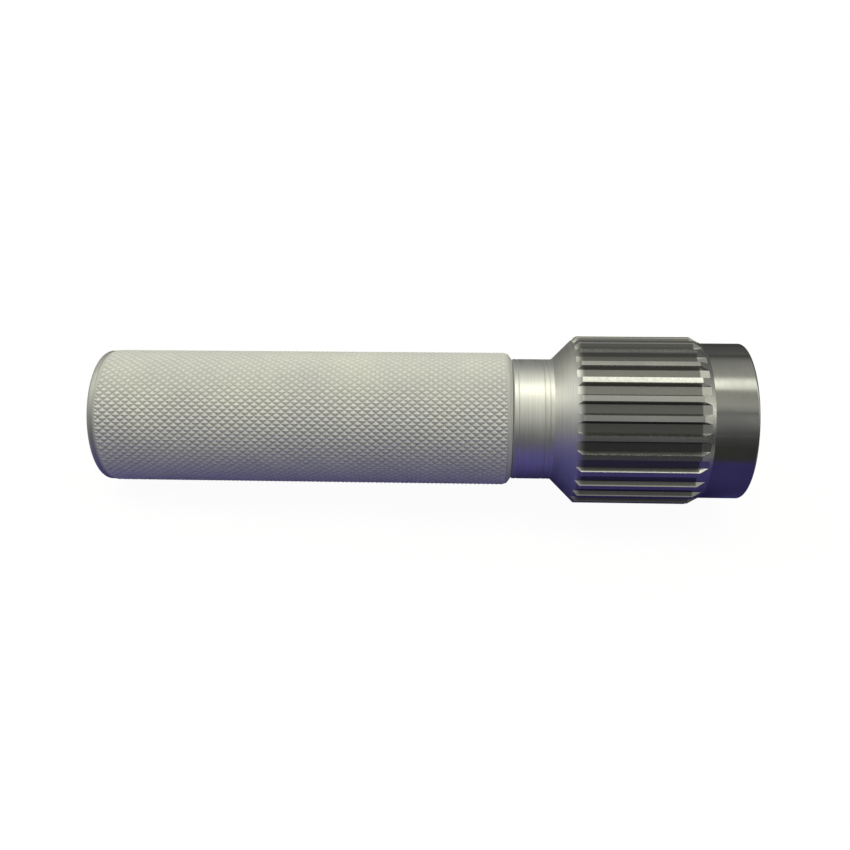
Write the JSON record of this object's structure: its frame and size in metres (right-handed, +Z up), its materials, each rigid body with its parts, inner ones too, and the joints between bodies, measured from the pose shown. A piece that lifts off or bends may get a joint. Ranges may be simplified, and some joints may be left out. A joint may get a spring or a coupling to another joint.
{
  "type": "fuel sampler cup",
  "caption": "Pocket fuel sampler with a knurled grip barrel over a clear cup and a fluted head holding a sprung valve and fixed probe.",
  "frame": {"origin": "on the surface that the sampler lies on, under the middle of its length and of its fluted head", "axes": "+X along the sampler from the closed base to the open mouth, +Y across towards the vent screw, +Z up"},
  "size_m": [0.1386, 0.0364, 0.0364],
  "materials": {
    "knurled_aluminium": "satin, diamond knurl, clear anodised",
    "turned_aluminium": "satin turned and brightly polished on the flutes",
    "polished_collar": "polished",
    "stainless": "bright turned stainless steel",
    "spring_steel": "drawn stainless spring wire",
    "clear_cup": "clear fuel-resistant plastic",
    "seal_rubber": "matte nitrile rubber",
    "cushion_rubber": "soft matte rubber",
    "guide_plastic": "slippery white PTFE"
  },
  "bodies": {
    "head": {"head_body": "turned_aluminium", "mouth_ring": "polished_collar", "mouth_ring_seal": "seal_rubber", "probe_spider": "stainless", "spider_snap_ring": "spring_steel", "valve_probe": "stainless", "probe_seal": "seal_rubber", "probe_lock_washer": "spring_steel", "probe_nut": "stainless", "cup_gasket": "seal_rubber", "sample_cup": "clear_cup", "cup_buffer_ring": "seal_rubber", "valve_spring": "spring_steel"},
    "sleeve": {"seal_sleeve": "stainless", "guide_ring": "guide_plastic", "sleeve_seal": "seal_rubber", "face_seal": "seal_rubber"},
    "barrel_turning": {"barrel_seal": "seal_rubber"},
    "barrel": {"barrel": "knurled_aluminium", "base_cap": "turned_aluminium", "base_cap_seal": "seal_rubber", "cup_cushion": "cushion_rubber"},
    "vent_turning": {"vent_seal": "guide_plastic"},
    "vent": {"vent_screw": "stainless"}
  },
  "joints": [
    {"name": "sleeve_press", "type": "slide", "parent": "head", "child": "sleeve", "axis": [-1, 0, 0], "range_m": [0, 0.006], "stiffness_N_per_m": 700, "springref_m": -0.006, "deforming": ["valve_spring"]},
    {"name": "barrel_turn", "type": "hinge", "parent": "head", "child": "barrel_turning", "pos_m": [0, 0, 0.0182], "axis": [-1, 0, 0], "range_deg": [0, 2160]},
    {"name": "barrel_travel", "type": "slide", "parent": "barrel_turning", "child": "barrel", "axis": [-1, 0, 0], "range_m": [0, 0.006]},
    {"name": "vent_turn", "type": "hinge", "parent": "head", "child": "vent_turning", "pos_m": [0.02465, 0, 0.0182], "axis": [0, 1, 0], "range_deg": [0, 720]},
    {"name": "vent_lift", "type": "slide", "parent": "vent_turning", "child": "vent", "axis": [0, 1, 0], "range_m": [0, 0.001]}
  ],
  "couplings": [
    {"joint": "barrel_travel", "follows": "barrel_turn", "m_per_rad": 0.00015915},
    {"joint": "vent_turn", "follows": "vent_lift", "rad_per_m": 12566}
  ]
}
